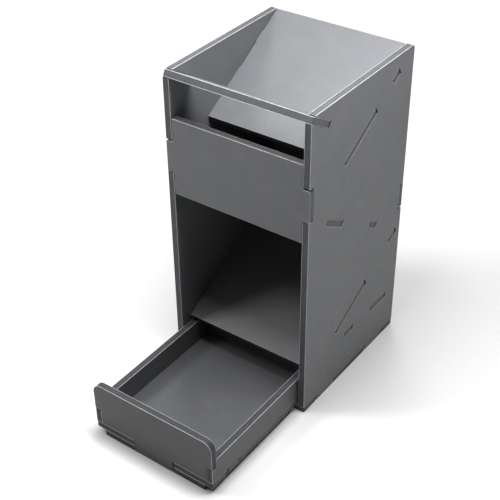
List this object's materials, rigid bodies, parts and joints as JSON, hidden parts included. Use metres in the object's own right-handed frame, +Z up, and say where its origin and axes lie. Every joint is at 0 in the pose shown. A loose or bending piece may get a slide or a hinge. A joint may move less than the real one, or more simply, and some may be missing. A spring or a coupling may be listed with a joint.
{
  "type": "dice tower",
  "caption": "Flat-pack dice tower of slotted grey foam-core boards: open top, ramps and a baffle inside, and a shallow tray drawer drawn out at its foot.",
  "frame": {"origin": "on the surface that the tower stands on, at the middle of its footprint with the drawer drawn out", "axes": "+X to the tower's right as seen from its front, +Y from its front to its back, +Z up"},
  "size_m": [0.096, 0.1876, 0.2],
  "materials": {
    "side_board": "matt coated foam-core board",
    "cross_board": "matt coated foam-core board",
    "drawer_board": "matt coated foam-core board"
  },
  "bodies": {
    "tower": {"side_panel_left": "side_board", "side_panel_right": "side_board", "base_panel": "cross_board", "top_bar": "cross_board", "front_fascia": "cross_board", "back_panel": "cross_board", "upper_ramp": "cross_board", "middle_baffle": "cross_board", "lower_ramp": "cross_board", "drawer_guide_shelf": "cross_board"},
    "drawer": {"drawer_front": "drawer_board", "drawer_back": "drawer_board", "drawer_side_left": "drawer_board", "drawer_side_right": "drawer_board", "drawer_floor": "drawer_board", "drawer_runner": "drawer_board"}
  },
  "joints": [
    {"name": "drawer_slide", "type": "slide", "parent": "tower", "child": "drawer", "axis": [0, -1, 0], "range_m": [-0.0772, 0.012]}
  ]
}
